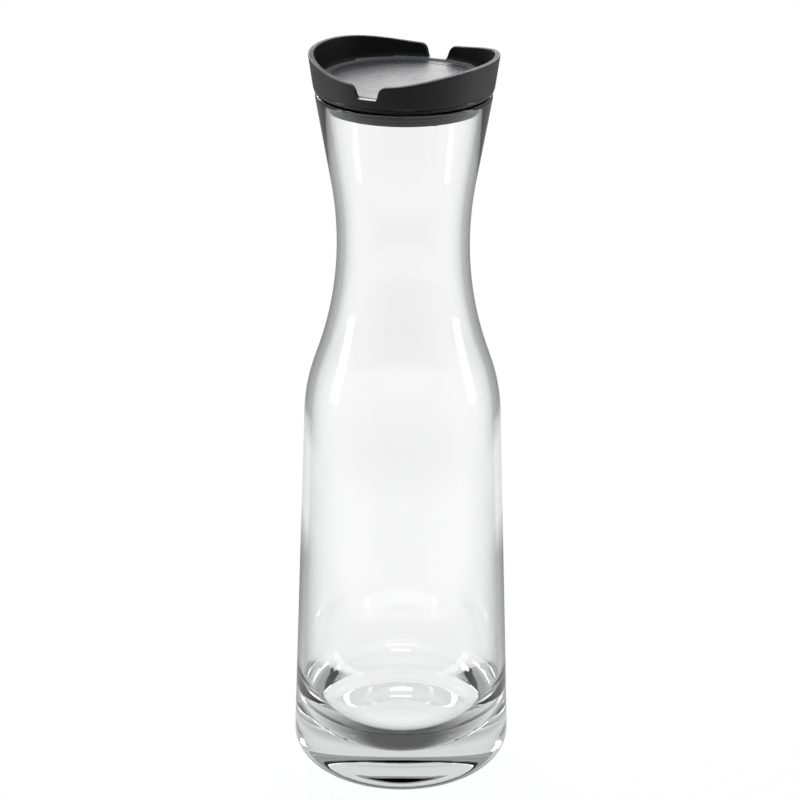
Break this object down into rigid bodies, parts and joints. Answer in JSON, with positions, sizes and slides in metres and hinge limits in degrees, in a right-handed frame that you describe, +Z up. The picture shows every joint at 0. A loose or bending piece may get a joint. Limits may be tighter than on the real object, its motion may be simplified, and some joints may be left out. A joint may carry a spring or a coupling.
{
  "type": "water carafe",
  "caption": "Tall waisted glass carafe with a black pouring lid: two notches, a counterweighted flap that tips open by itself, and a silicone seal.",
  "frame": {"origin": "centre of the base, in the plane of the flat ring that the carafe stands on", "axes": "+Z up along the glass's axis; the lid's two pouring notches face -Y and +Y; the flap's axle lies along X"},
  "size_m": [0.093, 0.093, 0.3085],
  "materials": {
    "clear_glass": "fire polished",
    "rim_plastic": "satin",
    "plug_plastic": "as moulded",
    "flap_plastic": "spark-eroded texture",
    "silicone": "matte",
    "stainless_steel": "drawn bar"
  },
  "bodies": {
    "glass": {"glass_body": "clear_glass"},
    "lid": {"lid_rim": "rim_plastic", "lid_plug": "plug_plastic", "seal_sleeve": "silicone"},
    "flap": {"flap_plate": "flap_plastic", "flap_carrier": "plug_plastic", "flap_axle": "stainless_steel", "counterweight": "stainless_steel", "weight_cover": "plug_plastic"}
  },
  "joints": [
    {"name": "lid_lift", "type": "slide", "parent": "glass", "child": "lid", "axis": [0, 0, 1], "range_m": [0, 0.03]},
    {"name": "flap_tilt", "type": "hinge", "parent": "lid", "child": "flap", "pos_m": [0, 0, 0.2929], "axis": [1, 0, 0], "range_deg": [-40, 40]}
  ]
}
